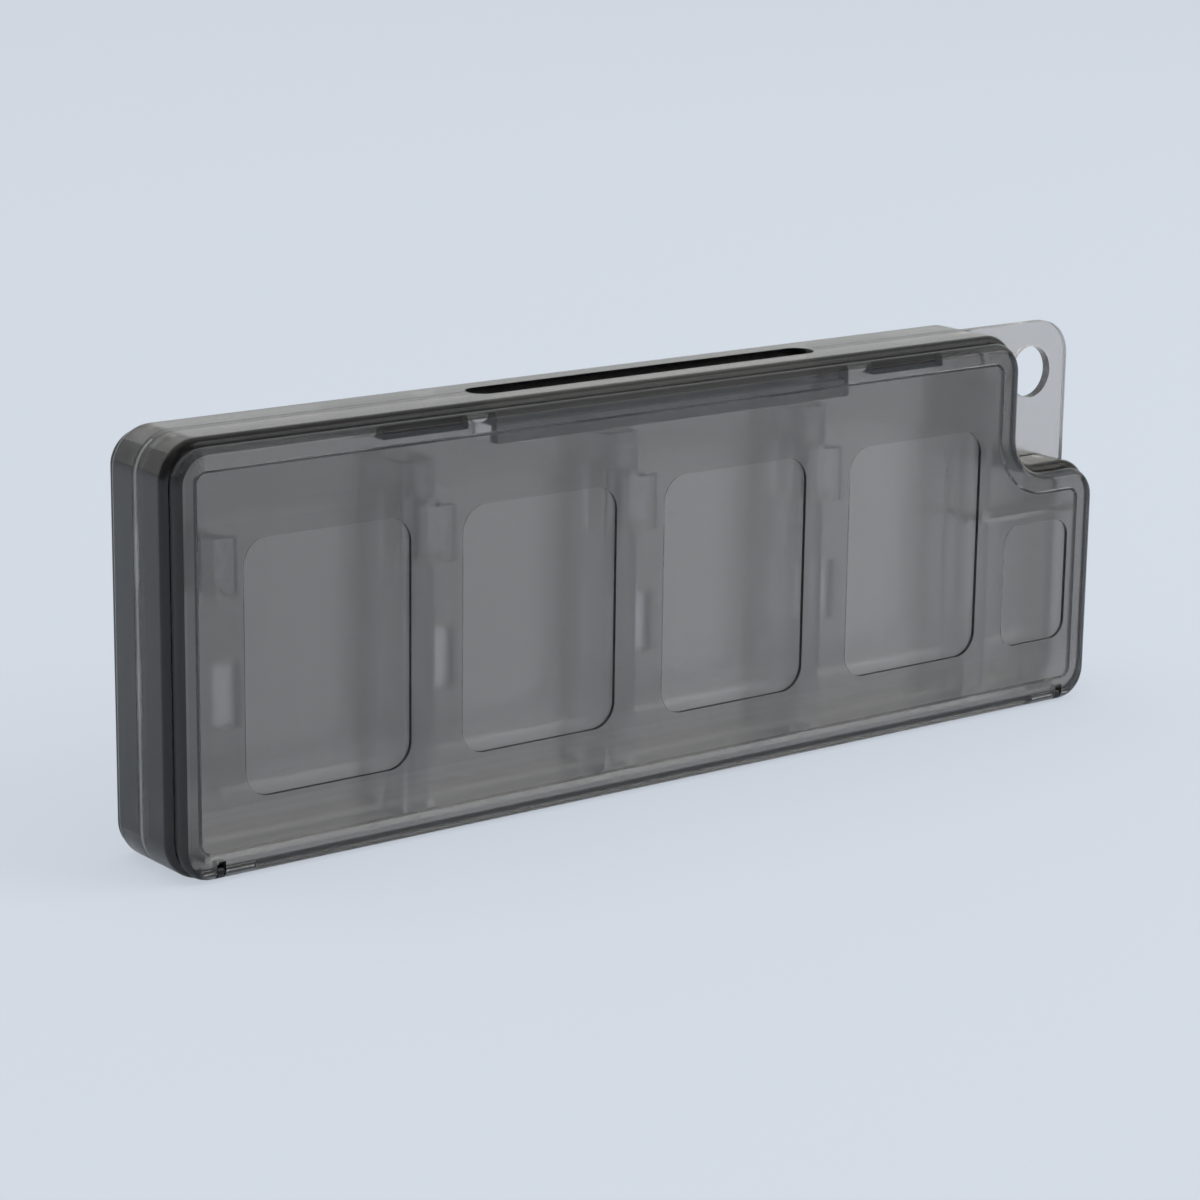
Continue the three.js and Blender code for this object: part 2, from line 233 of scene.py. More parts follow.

# %% [markdown]
# ## Lids
# A lid is a shallow moulded cover. Outside it has a rounded edge and shallow recesses for labels,
# and inside a wide rim round a cavity. The rim's inner edge is the fine dark line in the photograph.
# The bottom edge is a barrel that turns about the hinge pins, so its inner corner is round about the pin.
# It is built ring by ring, from the outer face round the edge to the cavity floor.
# Both broad faces are cut into cells, since the lid is matt inside and the painted shade on them thins toward
# the right end and the foot, as painted light.

# %% Lid sizes
FRAME_FACE = 5.95 * MM
LID_INNER, LID_OUTER = 6.15 * MM, 7.9 * MM
LID_INSET, LID_FOOT, LID_EDGE = 0.85 * MM, 0.25 * MM, 1.15 * MM
CAVITY_INSET, CAVITY_FOOT, CAVITY_FLOOR = 3.5 * MM, 3.2 * MM, 6.7 * MM
CAVITY_EDGE, GROOVE = 0.05 * MM, 0.3 * MM
HINGE_Y, HINGE_Z, BARREL_RADIUS = 7.0 * MM, 1.1 * MM, 0.85 * MM
print("lid thickness in mm:", round((LID_OUTER - LID_INNER) / MM, 2))

# %% Label recesses
LABEL_DEPTH, LABEL_EDGE, LABEL_FOOT = 0.5 * MM, 0.06 * MM, 9.4 * MM
CARD_COUNT, CARD_FROM_LEFT, CARD_PITCH = 4, 9.4 * MM, 30.44 * MM
CARD_WIDTH, CARD_HEIGHT, CARD_CORNER = 22.95 * MM, 30.7 * MM, 3.2 * MM
MEMORY_WIDTH, MEMORY_HEIGHT, MEMORY_CORNER = 11.65 * MM, 16.65 * MM, 2.4 * MM
MEMORY_FROM_RIGHT = 5.6 * MM
card_lefts = [CARD_FROM_LEFT - CASE_LENGTH / 2 + i * CARD_PITCH for i in range(CARD_COUNT)]
memory_left = CASE_LENGTH / 2 - MEMORY_FROM_RIGHT - MEMORY_WIDTH


def label(left, width, height, corner):
    """A recess's left, right, bottom and top, and the radius of its corners."""
    return left, left + width, LABEL_FOOT, LABEL_FOOT + height, corner


labels = [label(left, CARD_WIDTH, CARD_HEIGHT, CARD_CORNER) for left in card_lefts]
labels.append(label(memory_left, MEMORY_WIDTH, MEMORY_HEIGHT, MEMORY_CORNER))
print("label recesses:", len(labels))

# %% Cells of the lid's broad faces
COLUMN_PITCH, COLUMNS_EACH_WAY = 4 * MM, 17
FLOOR_COLUMNS = [COLUMN_PITCH * i for i in range(-COLUMNS_EACH_WAY, COLUMNS_EACH_WAY + 1)]
LOW_ROWS = [z * MM for z in (4.5, 5.5, 6.5, 7.5, 8.5)]
TOP_ROWS = [z * MM for z in (38, 40, 42, 44, 46)]
ON_PLANE = 0.001 * MM


def lies_at(face, depth):
    """Whether the whole of a face of the front lid lies at a depth."""
    return all(abs(vert.co.y + depth) < ON_PLANE for vert in face.verts)


def split_face(bm, depth, columns, rows):
    """Cuts the flat face at a depth into cells, so that its painted shade and matt can change across it."""
    for normal, places in ((Vector((1, 0, 0)), columns), (Vector((0, 0, 1)), rows)):
        for place in places:
            flat = [face for face in bm.faces if lies_at(face, depth)]
            edges = once(edge for face in flat for edge in face.edges)
            verts = once(vert for face in flat for vert in face.verts)
            bmesh.ops.bisect_plane(bm, geom=flat + edges + verts, plane_co=normal * place, plane_no=normal)


print("columns and rows of the cavity floor:", len(FLOOR_COLUMNS), len(LOW_ROWS + TOP_ROWS))

# %% Lid shell
BROAD_STEPS, BARREL_STEPS = 12, 8


def barrel_foot(y):
    """How high the lid's bottom lies at a depth y, where its inner corner turns about the pin."""
    return HINGE_Z - math.sqrt(max(BARREL_RADIUS**2 - max(HINGE_Y - y, 0) ** 2, 0))


def label_recess(bm, x0, x1, z0, z1, radius):
    """Skins a recess's walls and closes its floor, and returns the row of vertices at its mouth."""
    mouth = [
        lift(rounded_rectangle(x0, x1, z0, z1, radius, side), -LID_OUTER + depth)
        for side, depth in quarter_round(LABEL_EDGE)
    ]
    foot = [
        lift(rounded_rectangle(x0, x1, z0, z1, radius, -side), -LID_OUTER + LABEL_DEPTH - depth)
        for side, depth in reversed(quarter_round(LABEL_EDGE))
    ]
    rows = skin(bm, mouth + foot)
    cap(bm, rows[-1])
    return rows[0]


def lid_shell(name):
    """The front lid, from its outer face round its edge to the floor of its cavity."""
    bm = bmesh.new()
    rings = []
    for side, depth in quarter_round(LID_EDGE, BROAD_STEPS):
        y = LID_OUTER - depth
        rings.append(lift(case_outline(LID_INSET + side, max(LID_FOOT + side, barrel_foot(y))), -y))
    for i in range(1, BARREL_STEPS + 1):
        y = LID_OUTER - LID_EDGE - (LID_OUTER - LID_EDGE - LID_INNER) * i / BARREL_STEPS
        rings.append(lift(case_outline(LID_INSET, barrel_foot(y)), -y))
    for side, depth in reversed(quarter_round(CAVITY_EDGE)):
        rings.append(lift(case_outline(CAVITY_INSET - depth, CAVITY_FOOT - depth), -LID_INNER - side))
    rings.append(lift(case_outline(CAVITY_INSET, CAVITY_FOOT), -CAVITY_FLOOR - GROOVE))
    rings.append(lift(case_outline(CAVITY_INSET + GROOVE, CAVITY_FOOT + GROOVE), -CAVITY_FLOOR))
    rows = skin(bm, rings)
    mouths = [label_recess(bm, *recess) for recess in labels]
    cap(bm, rows[0], *mouths)
    bm.faces.new(rows[-1])
    split_face(bm, LID_OUTER, [], LOW_ROWS)
    split_face(bm, CAVITY_FLOOR, FLOOR_COLUMNS, LOW_ROWS + TOP_ROWS)
    return to_object(name, bm)


front_lid = lid_shell("front_lid_shell")
print("lid faces before its latch and hinge:", len(front_lid.data.polygons))

# %% [markdown]
# ## Latch and hinge of a lid
# At the top a flange hangs behind the rim and a tongue reaches in under the frame's top wall, with a shorter
# tongue on either side. Through the lid they show as darker blocks, which is painted shade on their faces.
# At the bottom a slot near each end lets the frame's hinge lug in, and a bore takes the pin.
# Blocks are joined and slots cut with the exact Boolean, because a knife cut by hand would have to follow the
# rounded edge.

# %% Latch flange and tongues
TONGUE_TOP, TONGUE_ROOT = 50.2 * MM, 0.4 * MM
LATCH_HALF = 27.7 * MM
FLANGE_HEIGHT, FLANGE_REACH = 3.3 * MM, 1.2 * MM
TONGUE_HEIGHT, TONGUE_REACH = 1.3 * MM, 3.2 * MM
SIDE_TONGUE_X, SIDE_TONGUE_HALF = 37.9 * MM, 6.1 * MM
SIDE_TONGUE_HEIGHT, SIDE_TONGUE_REACH = 1.0 * MM, 2.6 * MM


def tongue_block(bm, x0, x1, height, depth):
    """A block that is rooted in the lid's rim and reaches in to a depth, all with the same top."""
    add_block(bm, (x0, -LID_INNER - TONGUE_ROOT, TONGUE_TOP - height), (x1, -depth, TONGUE_TOP))


latch = bmesh.new()
tongue_block(latch, -LATCH_HALF, LATCH_HALF, FLANGE_HEIGHT, LID_INNER - FLANGE_REACH)
tongue_block(latch, -LATCH_HALF, LATCH_HALF, TONGUE_HEIGHT, FRAME_FACE - TONGUE_REACH)
for side in (-1, 1):
    left = side * SIDE_TONGUE_X - SIDE_TONGUE_HALF
    right = side * SIDE_TONGUE_X + SIDE_TONGUE_HALF
    tongue_block(latch, left, right, SIDE_TONGUE_HEIGHT, FRAME_FACE - SIDE_TONGUE_REACH)
combine(front_lid, to_object("latch_blocks", latch), "UNION")
print("lid faces with its latch:", len(front_lid.data.polygons))

# %% Hinge slots and bores
LUG_X, SLOT_WIDTH, SLOT_HEIGHT = CASE_LENGTH / 2 - 5.9 * MM, 1.2 * MM, 2.5 * MM
SLOT_FRONT, SLOT_BACK = 9 * MM, 5 * MM
PIN_RADIUS, BORE_RADIUS, PIN_END_GAP = 0.4 * MM, 0.48 * MM, 0.08 * MM
PIN_IN_CORNER, PIN_IN_BARREL = 1.7 * MM, 4.1 * MM
OVERCUT = 1 * MM  # how far a cutter reaches past what it cuts


def pin_span(side):
    """The two ends of a pin along X, on the left (-1) or the right (1)."""
    in_corner = LUG_X + SLOT_WIDTH / 2 + PIN_IN_CORNER
    in_barrel = LUG_X - SLOT_WIDTH / 2 - PIN_IN_BARREL
    return sorted((side * in_corner, side * in_barrel))


hinge_slots, hinge_bores = bmesh.new(), bmesh.new()
for side in (-1, 1):
    low = (side * LUG_X - SLOT_WIDTH / 2, -SLOT_FRONT, -OVERCUT)
    high = (side * LUG_X + SLOT_WIDTH / 2, -SLOT_BACK, SLOT_HEIGHT)
    add_block(hinge_slots, low, high, round_over=0)
    x0, x1 = pin_span(side)
    add_bar(hinge_bores, x0 - PIN_END_GAP, x1 + PIN_END_GAP, -HINGE_Y, HINGE_Z, BORE_RADIUS)
combine(front_lid, to_object("hinge_slots", hinge_slots), "DIFFERENCE")
combine(front_lid, to_object("hinge_bores", hinge_bores), "DIFFERENCE")
rear_lid = mirrored_copy(front_lid, "rear_lid_shell")
print("lid faces:", len(front_lid.data.polygons))

# %% [markdown]
# ## Frames
# A frame is a plain ring, round on its outer edge and square where it meets the card tray, with a small lug
# for each hinge. It is a loop of rings with no end faces: the skin runs round the wall and meets itself.
# The long slot in the top wall is shared by both frames and the tray, so one cutter serves all three.

# %% Release slot and hinge lugs
SLOT_HALF_LENGTH, SLOT_HALF_WIDTH, SLOT_BOTTOM = 27 * MM, 2.2 * MM, 46 * MM
LUG_HALF, LUG_RADIUS = 0.4 * MM, 0.8 * MM
LUG_ROOT, LUG_LOW, LUG_TOP, LUG_SHOULDER = 1.2 * MM, 0.3 * MM, 1.4 * MM, 0.5 * MM
SLOT_END_POINTS, LUG_POINTS = 20, 16


def release_slot_cutter():
    """The long slot in the top wall, with its round ends."""
    bm = bmesh.new()
    straight = SLOT_HALF_LENGTH - SLOT_HALF_WIDTH
    outline = arc((straight, 0), SLOT_HALF_WIDTH, -90, 90, SLOT_END_POINTS)
    outline += arc((-straight, 0), SLOT_HALF_WIDTH, 90, 270, SLOT_END_POINTS)
    closed_stack(bm, [[Vector((x, y, z)) for x, y in outline] for z in (SLOT_BOTTOM, CASE_HEIGHT + OVERCUT)])
    return to_object("release_slot_cutter", bm)


def hinge_lugs():
    """A lug near each end of the front frame: a nose round the pin, with its root in the bottom wall."""
    bm = bmesh.new()
    root = LUG_ROOT - FRAME_FACE
    profile = arc((-HINGE_Y, HINGE_Z), LUG_RADIUS, 90, 270, LUG_POINTS)
    profile += [(root, LUG_LOW), (root, LUG_TOP), (LUG_SHOULDER - HINGE_Y, LUG_TOP)]
    for side in (-1, 1):
        ends = (side * LUG_X - LUG_HALF, side * LUG_X + LUG_HALF)
        closed_stack(bm, [[Vector((x, y, z)) for y, z in profile] for x in ends])
    return to_object("hinge_lugs", bm)


def lug_bores():
    """The pins' holes through both lugs."""
    bm = bmesh.new()
    for side in (-1, 1):
        add_bar(bm, side * LUG_X - OVERCUT, side * LUG_X + OVERCUT, -HINGE_Y, HINGE_Z, BORE_RADIUS)
    return to_object("lug_bores", bm)


print("lugs stand this far from the middle, in mm:", round(LUG_X / MM, 1))

# %% Frame shells
SEAM, WALL, FRAME_EDGE, SEAM_EDGE = 0.68 * MM, 1.5 * MM, 1.1 * MM, 0.04 * MM


def frame_shell(name):
    """The front frame: round its outer edge, along the seam with the tray, and back inside."""
    bm = bmesh.new()
    rings = []
    for side, depth in quarter_round(FRAME_EDGE, BROAD_STEPS):
        rings.append(lift(case_outline(side), -FRAME_FACE + depth))
    for side, depth in reversed(quarter_round(SEAM_EDGE)):
        rings.append(lift(case_outline(side), -SEAM - depth))
    for side, depth in quarter_round(SEAM_EDGE):
        rings.append(lift(case_outline(WALL - side), -SEAM - depth))
    for side, depth in reversed(quarter_round(SEAM_EDGE)):
        rings.append(lift(case_outline(WALL - side), -FRAME_FACE + depth))
    skin(bm, rings, loop=True)
    return to_object(name, bm)


front_frame = frame_shell("front_frame_shell")
combine(front_frame, release_slot_cutter(), "DIFFERENCE")
combine(front_frame, hinge_lugs(), "UNION")
combine(front_frame, lug_bores(), "DIFFERENCE")
rear_frame = mirrored_copy(front_frame, "rear_frame_shell")
print("frame faces:", len(front_frame.data.polygons))

# %% [markdown]
# ## Card tray
# The tray is a thin plate between the frames. Its edge shows as a line round the side wall, and its corner
# stands free as the lanyard tab. Hollow rails, hooks and stops on both faces hold the cards, and a small
# window beside each card goes right through. The plate's rounded edge and eyelet are skinned, and the rails
# are joined from rounded blocks that pass through the plate, so both faces get the same pockets.

# %% Plate with its eyelet
PLATE_HALF, PLATE_EDGE, EDGE_LINE = 0.65 * MM, 0.08 * MM, 0.22 * MM
EYELET = (CASE_LENGTH / 2 - 6.7 * MM, CASE_HEIGHT - 6.85 * MM)
EYELET_RADIUS = 3.5 * MM
PLATE_STEPS, EYELET_POINTS = 5, 64


def plate_outline(side):
    """The plate's edge, drawn in on all sides."""
    return rounded_rectangle(-CASE_LENGTH / 2, CASE_LENGTH / 2, 0, CASE_HEIGHT, CORNER_RADIUS, -side)


def eyelet_outline(side):
    """The eyelet's edge, widened on all sides."""
    return arc(EYELET, EYELET_RADIUS + side, 0, 360, EYELET_POINTS)[:-1]


def through_walls(outline_at):
    """Rings from the plate's front face to its rear face: both edges rounded, a line between them."""
    edge = quarter_round(PLATE_EDGE, PLATE_STEPS)
    front = [lift(outline_at(side), -PLATE_HALF + depth) for side, depth in edge]
    line = [lift(outline_at(0), y) for y in (-EDGE_LINE, EDGE_LINE)]
    rear = [lift(outline_at(side), PLATE_HALF - depth) for side, depth in reversed(edge)]
    return front + line + rear


def plate_shell(name):
    """The plate with its eyelet."""
    bm = bmesh.new()
    edge = skin(bm, through_walls(plate_outline))
    hole = skin(bm, through_walls(eyelet_outline))
    cap(bm, edge[0], hole[0])
    cap(bm, edge[-1], hole[-1])
    return to_object(name, bm)


card_tray = plate_shell("card_tray_shell")
print("plate faces:", len(card_tray.data.polygons))

# %% Rails, hooks and stops as blocks
RIB, RIB_TOP, RIB_REACH, STOP_REACH = 0.8 * MM, 45.8 * MM, 5.05 * MM, 1.25 * MM
TRAY_FLOOR, STOP_GAP = 1.8 * MM, 0.25 * MM
HOOK_LOW, HOOK_HIGH = 33 * MM, 40 * MM
HOOK_POST, LIP_START, LIP_END = 1.8 * MM, 0.2 * MM, 3.0 * MM


def both_faces(bm, x0, x1, reach, z0, z1):
    """A block through the plate that reaches equally far out of both faces."""
    add_block(bm, (x0, -reach, z0), (x1, reach, z1))


def add_front_walls(bm, x0, x1, z0, z1):
    """A thin wall at the front of each pocket row, and its twin at the rear."""
    for side in (-1, 1):
        near, far = sorted((side * RIB_REACH, side * (RIB_REACH - RIB)))
        add_block(bm, (x0, near, z0), (x1, far, z1))


def add_rail(bm, x0, x1):
    """A hollow rail between two pockets: two side walls and a front wall, open at the top."""
    both_faces(bm, x0, x0 + RIB, RIB_REACH, TRAY_FLOOR, RIB_TOP)
    both_faces(bm, x1 - RIB, x1, RIB_REACH, TRAY_FLOOR, RIB_TOP)
    add_front_walls(bm, x0 + RIB / 2, x1 - RIB / 2, TRAY_FLOOR, RIB_TOP)


def add_hook(bm, post, in_rail):
    """A post with a lip in front of the card. It starts a little way inside the rail on its left."""
    both_faces(bm, post - in_rail, post + HOOK_POST, RIB_REACH, HOOK_LOW, HOOK_HIGH)
    add_front_walls(bm, post + LIP_START, post + LIP_END, HOOK_LOW, HOOK_HIGH)


def add_stop(bm, left, right):
    """A low ledge on which a card stands."""
    top = LABEL_FOOT - STOP_GAP
    both_faces(bm, left, right, STOP_REACH, top - RIB, top)


print("rails reach this far from the middle, in mm:", round(RIB_REACH / MM, 2))

# %% Pockets on the tray
FLOOR_END, TRAY_END = CASE_LENGTH / 2 - CORNER_RADIUS, CASE_LENGTH / 2 - 1.8 * MM
HOOK_FROM_CARD, HOOK_IN_RAIL, MEMORY_RAIL_GAP = 2.5 * MM, 0.1 * MM, 0.9 * MM

ribs = bmesh.new()
both_faces(ribs, -FLOOR_END, FLOOR_END, RIB_REACH, TRAY_FLOOR, TRAY_FLOOR + RIB)
for i, left in enumerate(card_lefts):
    post = left - HOOK_FROM_CARD
    if i:
        add_rail(ribs, card_lefts[i - 1] + CARD_WIDTH + STOP_GAP, post)
    add_hook(ribs, post, HOOK_IN_RAIL if i else 0.0)
    add_stop(ribs, left, left + CARD_WIDTH)
memory_rail = memory_left - MEMORY_RAIL_GAP
memory_top = LABEL_FOOT + MEMORY_HEIGHT + STOP_GAP
add_rail(ribs, card_lefts[-1] + CARD_WIDTH + STOP_GAP, memory_rail)
both_faces(ribs, memory_rail - RIB / 2, TRAY_END, RIB_REACH, memory_top, memory_top + RIB)
add_stop(ribs, memory_left, memory_left + MEMORY_WIDTH)
combine(card_tray, to_object("pocket_ribs", ribs), "UNION")
print("tray faces with its pockets:", len(card_tray.data.polygons))

# %% Windows and release slot through the tray
WINDOW_LEFT, WINDOW_RIGHT = 0.4 * MM, 3.2 * MM
WINDOW_LOW, WINDOW_HIGH, WINDOW_CUT = 16 * MM, 23.8 * MM, 2 * MM

windows = bmesh.new()
for left in card_lefts:
    low = (left - WINDOW_LEFT, -WINDOW_CUT, WINDOW_LOW)
    high = (left + WINDOW_RIGHT, WINDOW_CUT, WINDOW_HIGH)
    add_block(windows, low, high, round_over=0)
combine(card_tray, to_object("tray_windows", windows), "DIFFERENCE")
combine(card_tray, release_slot_cutter(), "DIFFERENCE")
print("tray faces:", len(card_tray.data.polygons))

# %% [markdown]
# ## Hinge pins
# Each hinge turns on a short length of drawn wire in the lid's barrel, seen only through the plastic.
# A bar with small chamfers at its ends is all that such a pin is.

# %% Hinge pins
PIN_CHAMFER, PIN_SIDES = 0.08 * MM, 24

pins = {}
for side, toward_rear in (("front", -1), ("rear", 1)):
    for end, hand in (("left", -1), ("right", 1)):
        bm = bmesh.new()
        add_bar(bm, *pin_span(hand), toward_rear * HINGE_Y, HINGE_Z, PIN_RADIUS, PIN_CHAMFER, PIN_SIDES)
        pins[f"{side}_hinge_pin_{end}"] = to_object(f"{side}_hinge_wire_{end}", bm)
print("pins:", sorted(pins))

# %% [markdown]
# ## Smoke plastic
# The plastic is clear with a grey tint. A painted grey would look the same at every thickness,
# but in the photograph the single layer of the tab is pale and the three layers of the body are dark.
# So the plastic lets light through, and each face that the light crosses tints it. In the lids and the
# frames an absorbing volume adds to that: the longer the way through, the darker.
# Three effects are shared, each a node group with its own inputs: the fine orange-peel of a moulded face,
# the faint hairlines that handling leaves, and faces with painted shade or a more matt finish than the rest
# of a piece.

# %% Helpers for nodes
def new_group(name, inputs, outputs):
    """A node group with its sockets, and the nodes that stand for its inputs and its outputs."""
    group = bpy.data.node_groups.new(name, "ShaderNodeTree")
    for title, kind, value in inputs:
        socket = group.interface.new_socket(title, in_out="INPUT", socket_type=kind)
        socket.default_value = value
    for title, kind in outputs:
        group.interface.new_socket(title, in_out="OUTPUT", socket_type=kind)
    return group, group.nodes.new("NodeGroupInput"), group.nodes.new("NodeGroupOutput")


def feed(tree, value, socket):
    """Links a node's output to a socket, or sets a plain value on it."""
    if isinstance(value, bpy.types.NodeSocket):
        tree.links.new(value, socket)
    else:
        socket.default_value = value


def maths(tree, operation, first, second):
    """One sum on two values."""
    node = tree.nodes.new("ShaderNodeMath")
    node.operation = operation
    feed(tree, first, node.inputs[0])
    feed(tree, second, node.inputs[1])
    return node.outputs[0]


def noise(tree, coordinates, scale, detail):
    """Soft random values from 0 to 1."""
    node = tree.nodes.new("ShaderNodeTexNoise")
    node.inputs["Detail"].default_value = detail
    tree.links.new(coordinates, node.inputs["Vector"])
    tree.links.new(scale, node.inputs["Scale"])
    return node.outputs["Fac"]


def remap(tree, value, start, end, low=0.0, high=1.0):
    """Carries a value from one range to another, and stops at its ends."""
    node = tree.nodes.new("ShaderNodeMapRange")
    for title, limit in zip(("From Min", "From Max", "To Min", "To Max"), (start, end, low, high)):
        node.inputs[title].default_value = limit
    tree.links.new(value, node.inputs["Value"])
    return node.outputs["Result"]


def mix_tints(tree, factor, first, second):
    """Goes from one tint to another as the factor rises."""
    node = tree.nodes.new("ShaderNodeMix")
    node.data_type = "RGBA"
    tree.links.new(factor, node.inputs["Factor"])
    feed(tree, first, node.inputs["A"])
    feed(tree, second, node.inputs["B"])
    return node.outputs["Result"]


print("node helpers ready")

# %% Moulded face and handling marks
HAIRLINE_STRETCH = (1.0, 14.0, 40.0)
HAIRLINE_TURN = (0.0, 0.22, 0.0)
HAIRLINE_BAND = (0.62, 0.78)
MIDDLE_OF_NOISE = 0.5


def moulded_face_group():
    """Fine relief of a moulded face, and the slow change of gloss across it."""
    group, given, made = new_group(
        "moulded_face",
        [("Grain Scale", "NodeSocketFloat", 900.0), ("Gloss Scale", "NodeSocketFloat", 45.0),
         ("Roughness", "NodeSocketFloat", 0.15), ("Variation", "NodeSocketFloat", 0.05)],
        [("Roughness", "NodeSocketFloat"), ("Height", "NodeSocketFloat")],
    )
    place = group.nodes.new("ShaderNodeTexCoord").outputs["Object"]
    slow = noise(group, place, given.outputs["Gloss Scale"], 3.0)
    fine = noise(group, place, given.outputs["Grain Scale"], 2.0)
    sway = maths(group, "SUBTRACT", slow, MIDDLE_OF_NOISE)
    swing = maths(group, "MULTIPLY", sway, given.outputs["Variation"])
    group.links.new(maths(group, "ADD", given.outputs["Roughness"], swing), made.inputs["Roughness"])
    group.links.new(fine, made.inputs["Height"])
    return group


def handling_group():
    """Hairline marks that run mostly along the case, as a mask from 0 to 1."""
    group, given, made = new_group(
        "handling_marks",
        [("Length Scale", "NodeSocketFloat", 60.0), ("Amount", "NodeSocketFloat", 0.5)],
        [("Marks", "NodeSocketFloat")],
    )
    stretch = group.nodes.new("ShaderNodeMapping")
    stretch.inputs["Scale"].default_value = HAIRLINE_STRETCH
    stretch.inputs["Rotation"].default_value = HAIRLINE_TURN
    group.links.new(group.nodes.new("ShaderNodeTexCoord").outputs["Object"], stretch.inputs["Vector"])
    streak = noise(group, stretch.outputs["Vector"], given.outputs["Length Scale"], 4.0)
    crest = remap(group, streak, *HAIRLINE_BAND)
    group.links.new(maths(group, "MULTIPLY", crest, given.outputs["Amount"]), made.inputs["Marks"])
    return group


moulded_face, handling_marks = moulded_face_group(), handling_group()
print("groups:", moulded_face.name, handling_marks.name)

# %% Painted shade and more matt faces
WHITE, PAINTED_SHADE_BLACK = (1.0, 1.0, 1.0, 1.0), (0.02, 0.02, 0.02, 1.0)


def face_mark(group, name):
    """What a mark on the faces says, from 0 to 1."""
    mark = group.nodes.new("ShaderNodeAttribute")
    mark.attribute_name = name
    return mark.outputs["Fac"]


def painted_shade_and_matt_group():
    """Faces with a shade mark take a darker tint, which is painted shade, and those with a matt mark a
    rougher finish.
    """
    group, given, made = new_group(
        "painted_shade_and_matt",
        [("Clear Tint", "NodeSocketColor", WHITE), ("Dark Tint", "NodeSocketColor", PAINTED_SHADE_BLACK),
         ("Roughness", "NodeSocketFloat", 0.1), ("Gain", "NodeSocketFloat", 0.3)],
        [("Tint", "NodeSocketColor"), ("Roughness", "NodeSocketFloat")],
    )
    shade, matt = face_mark(group, "shade"), face_mark(group, "matt")
    tint = mix_tints(group, shade, given.outputs["Clear Tint"], given.outputs["Dark Tint"])
    group.links.new(tint, made.inputs["Tint"])
    rise = maths(group, "MULTIPLY", matt, given.outputs["Gain"])
    group.links.new(maths(group, "ADD", given.outputs["Roughness"], rise), made.inputs["Roughness"])
    return group


painted_shade_and_matt = painted_shade_and_matt_group()
print("group:", painted_shade_and_matt.name)

# %% How a smoke plastic is made
PLASTIC_IOR = 1.49
GRAIN_STRENGTH, GRAIN_HEIGHT = 0.2, 0.00002


def new_material(name):
    """A material, its node tree and the shader of its surface."""
    material = bpy.data.materials.new(name)
    material.use_nodes = True
    return material, material.node_tree, material.node_tree.nodes["Principled BSDF"]


def add_group(tree, group, **values):
    """Places a node group with its own values."""
    node = tree.nodes.new("ShaderNodeGroup")
    node.node_tree = group
    for title, value in values.items():
        node.inputs[title.replace("_", " ")].default_value = value
    return node


def smoke_plastic(name, skin_tint, depth_tint, density, clarity, roughness, variation, marks):
    """Clear plastic with a smoke tint in its skin and its depth: density is what a metre of it absorbs."""
    material, tree, surface = new_material(name)
    surface.inputs["Base Color"].default_value = (*skin_tint, 1.0)
    surface.inputs["Transmission Weight"].default_value = clarity
    surface.inputs["IOR"].default_value = PLASTIC_IOR
    face = add_group(tree, moulded_face, Roughness=roughness, Variation=variation)
    wear = add_group(tree, handling_marks, Amount=marks)
    worn = maths(tree, "ADD", face.outputs["Roughness"], wear.outputs["Marks"])
    tree.links.new(worn, surface.inputs["Roughness"])
    bump = tree.nodes.new("ShaderNodeBump")
    bump.inputs["Strength"].default_value = GRAIN_STRENGTH
    bump.inputs["Distance"].default_value = GRAIN_HEIGHT
    tree.links.new(face.outputs["Height"], bump.inputs["Height"])
    tree.links.new(bump.outputs["Normal"], surface.inputs["Normal"])
    depth = tree.nodes.new("ShaderNodeVolumeAbsorption")
    depth.inputs["Color"].default_value = (*depth_tint, 1.0)
    depth.inputs["Density"].default_value = density
    tree.links.new(depth.outputs["Volume"], tree.nodes["Material Output"].inputs["Volume"])
    return material


def add_painted_shade_and_matt(material, gain):
    """Lets the marked faces take painted shade, and turn more matt by a gain in roughness."""
    tree = material.node_tree
    surface = tree.nodes["Principled BSDF"]
    clear_tint = tuple(surface.inputs["Base Color"].default_value)
    shaded = add_group(tree, painted_shade_and_matt, Clear_Tint=clear_tint, Gain=gain)
    tree.links.new(surface.inputs["Roughness"].links[0].from_socket, shaded.inputs["Roughness"])
    tree.links.new(shaded.outputs["Tint"], surface.inputs["Base Color"])
    tree.links.new(shaded.outputs["Roughness"], surface.inputs["Roughness"])


print("plastic bends light by", PLASTIC_IOR)

# %% The plastics of the case
SMOKE, BLACK = (0.1, 0.05, 0.0), (0.0, 0.0, 0.0)

lid_plastic = smoke_plastic(
    "lid_smoke_plastic", skin_tint=(0.97, 0.955, 0.935), depth_tint=BLACK, density=150.0,
    clarity=1.0, roughness=0.1, variation=0.03, marks=0.02)
add_painted_shade_and_matt(lid_plastic, gain=0.33)
frame_plastic = smoke_plastic(
    "frame_smoke_plastic", skin_tint=(0.8, 0.795, 0.79), depth_tint=SMOKE, density=450.0,
    clarity=1.0, roughness=0.12, variation=0.03, marks=0.03)
add_painted_shade_and_matt(frame_plastic, gain=0.1)
tray_plastic = smoke_plastic(
    "tray_smoke_plastic", skin_tint=(0.67, 0.645, 0.625), depth_tint=SMOKE, density=1.0,
    clarity=0.97, roughness=0.22, variation=0.03, marks=0.01)
# The rails, hooks and stops get a lighter, clearer copy of the tray plastic: painted light, so they don't
# read dark in their pockets.
rib_painted_light_plastic = smoke_plastic(
    "rib_plastic_painted_light", skin_tint=(1.0, 1.0, 1.0), depth_tint=SMOKE, density=1.0,
    clarity=0.98, roughness=0.18, variation=0.03, marks=0.01)
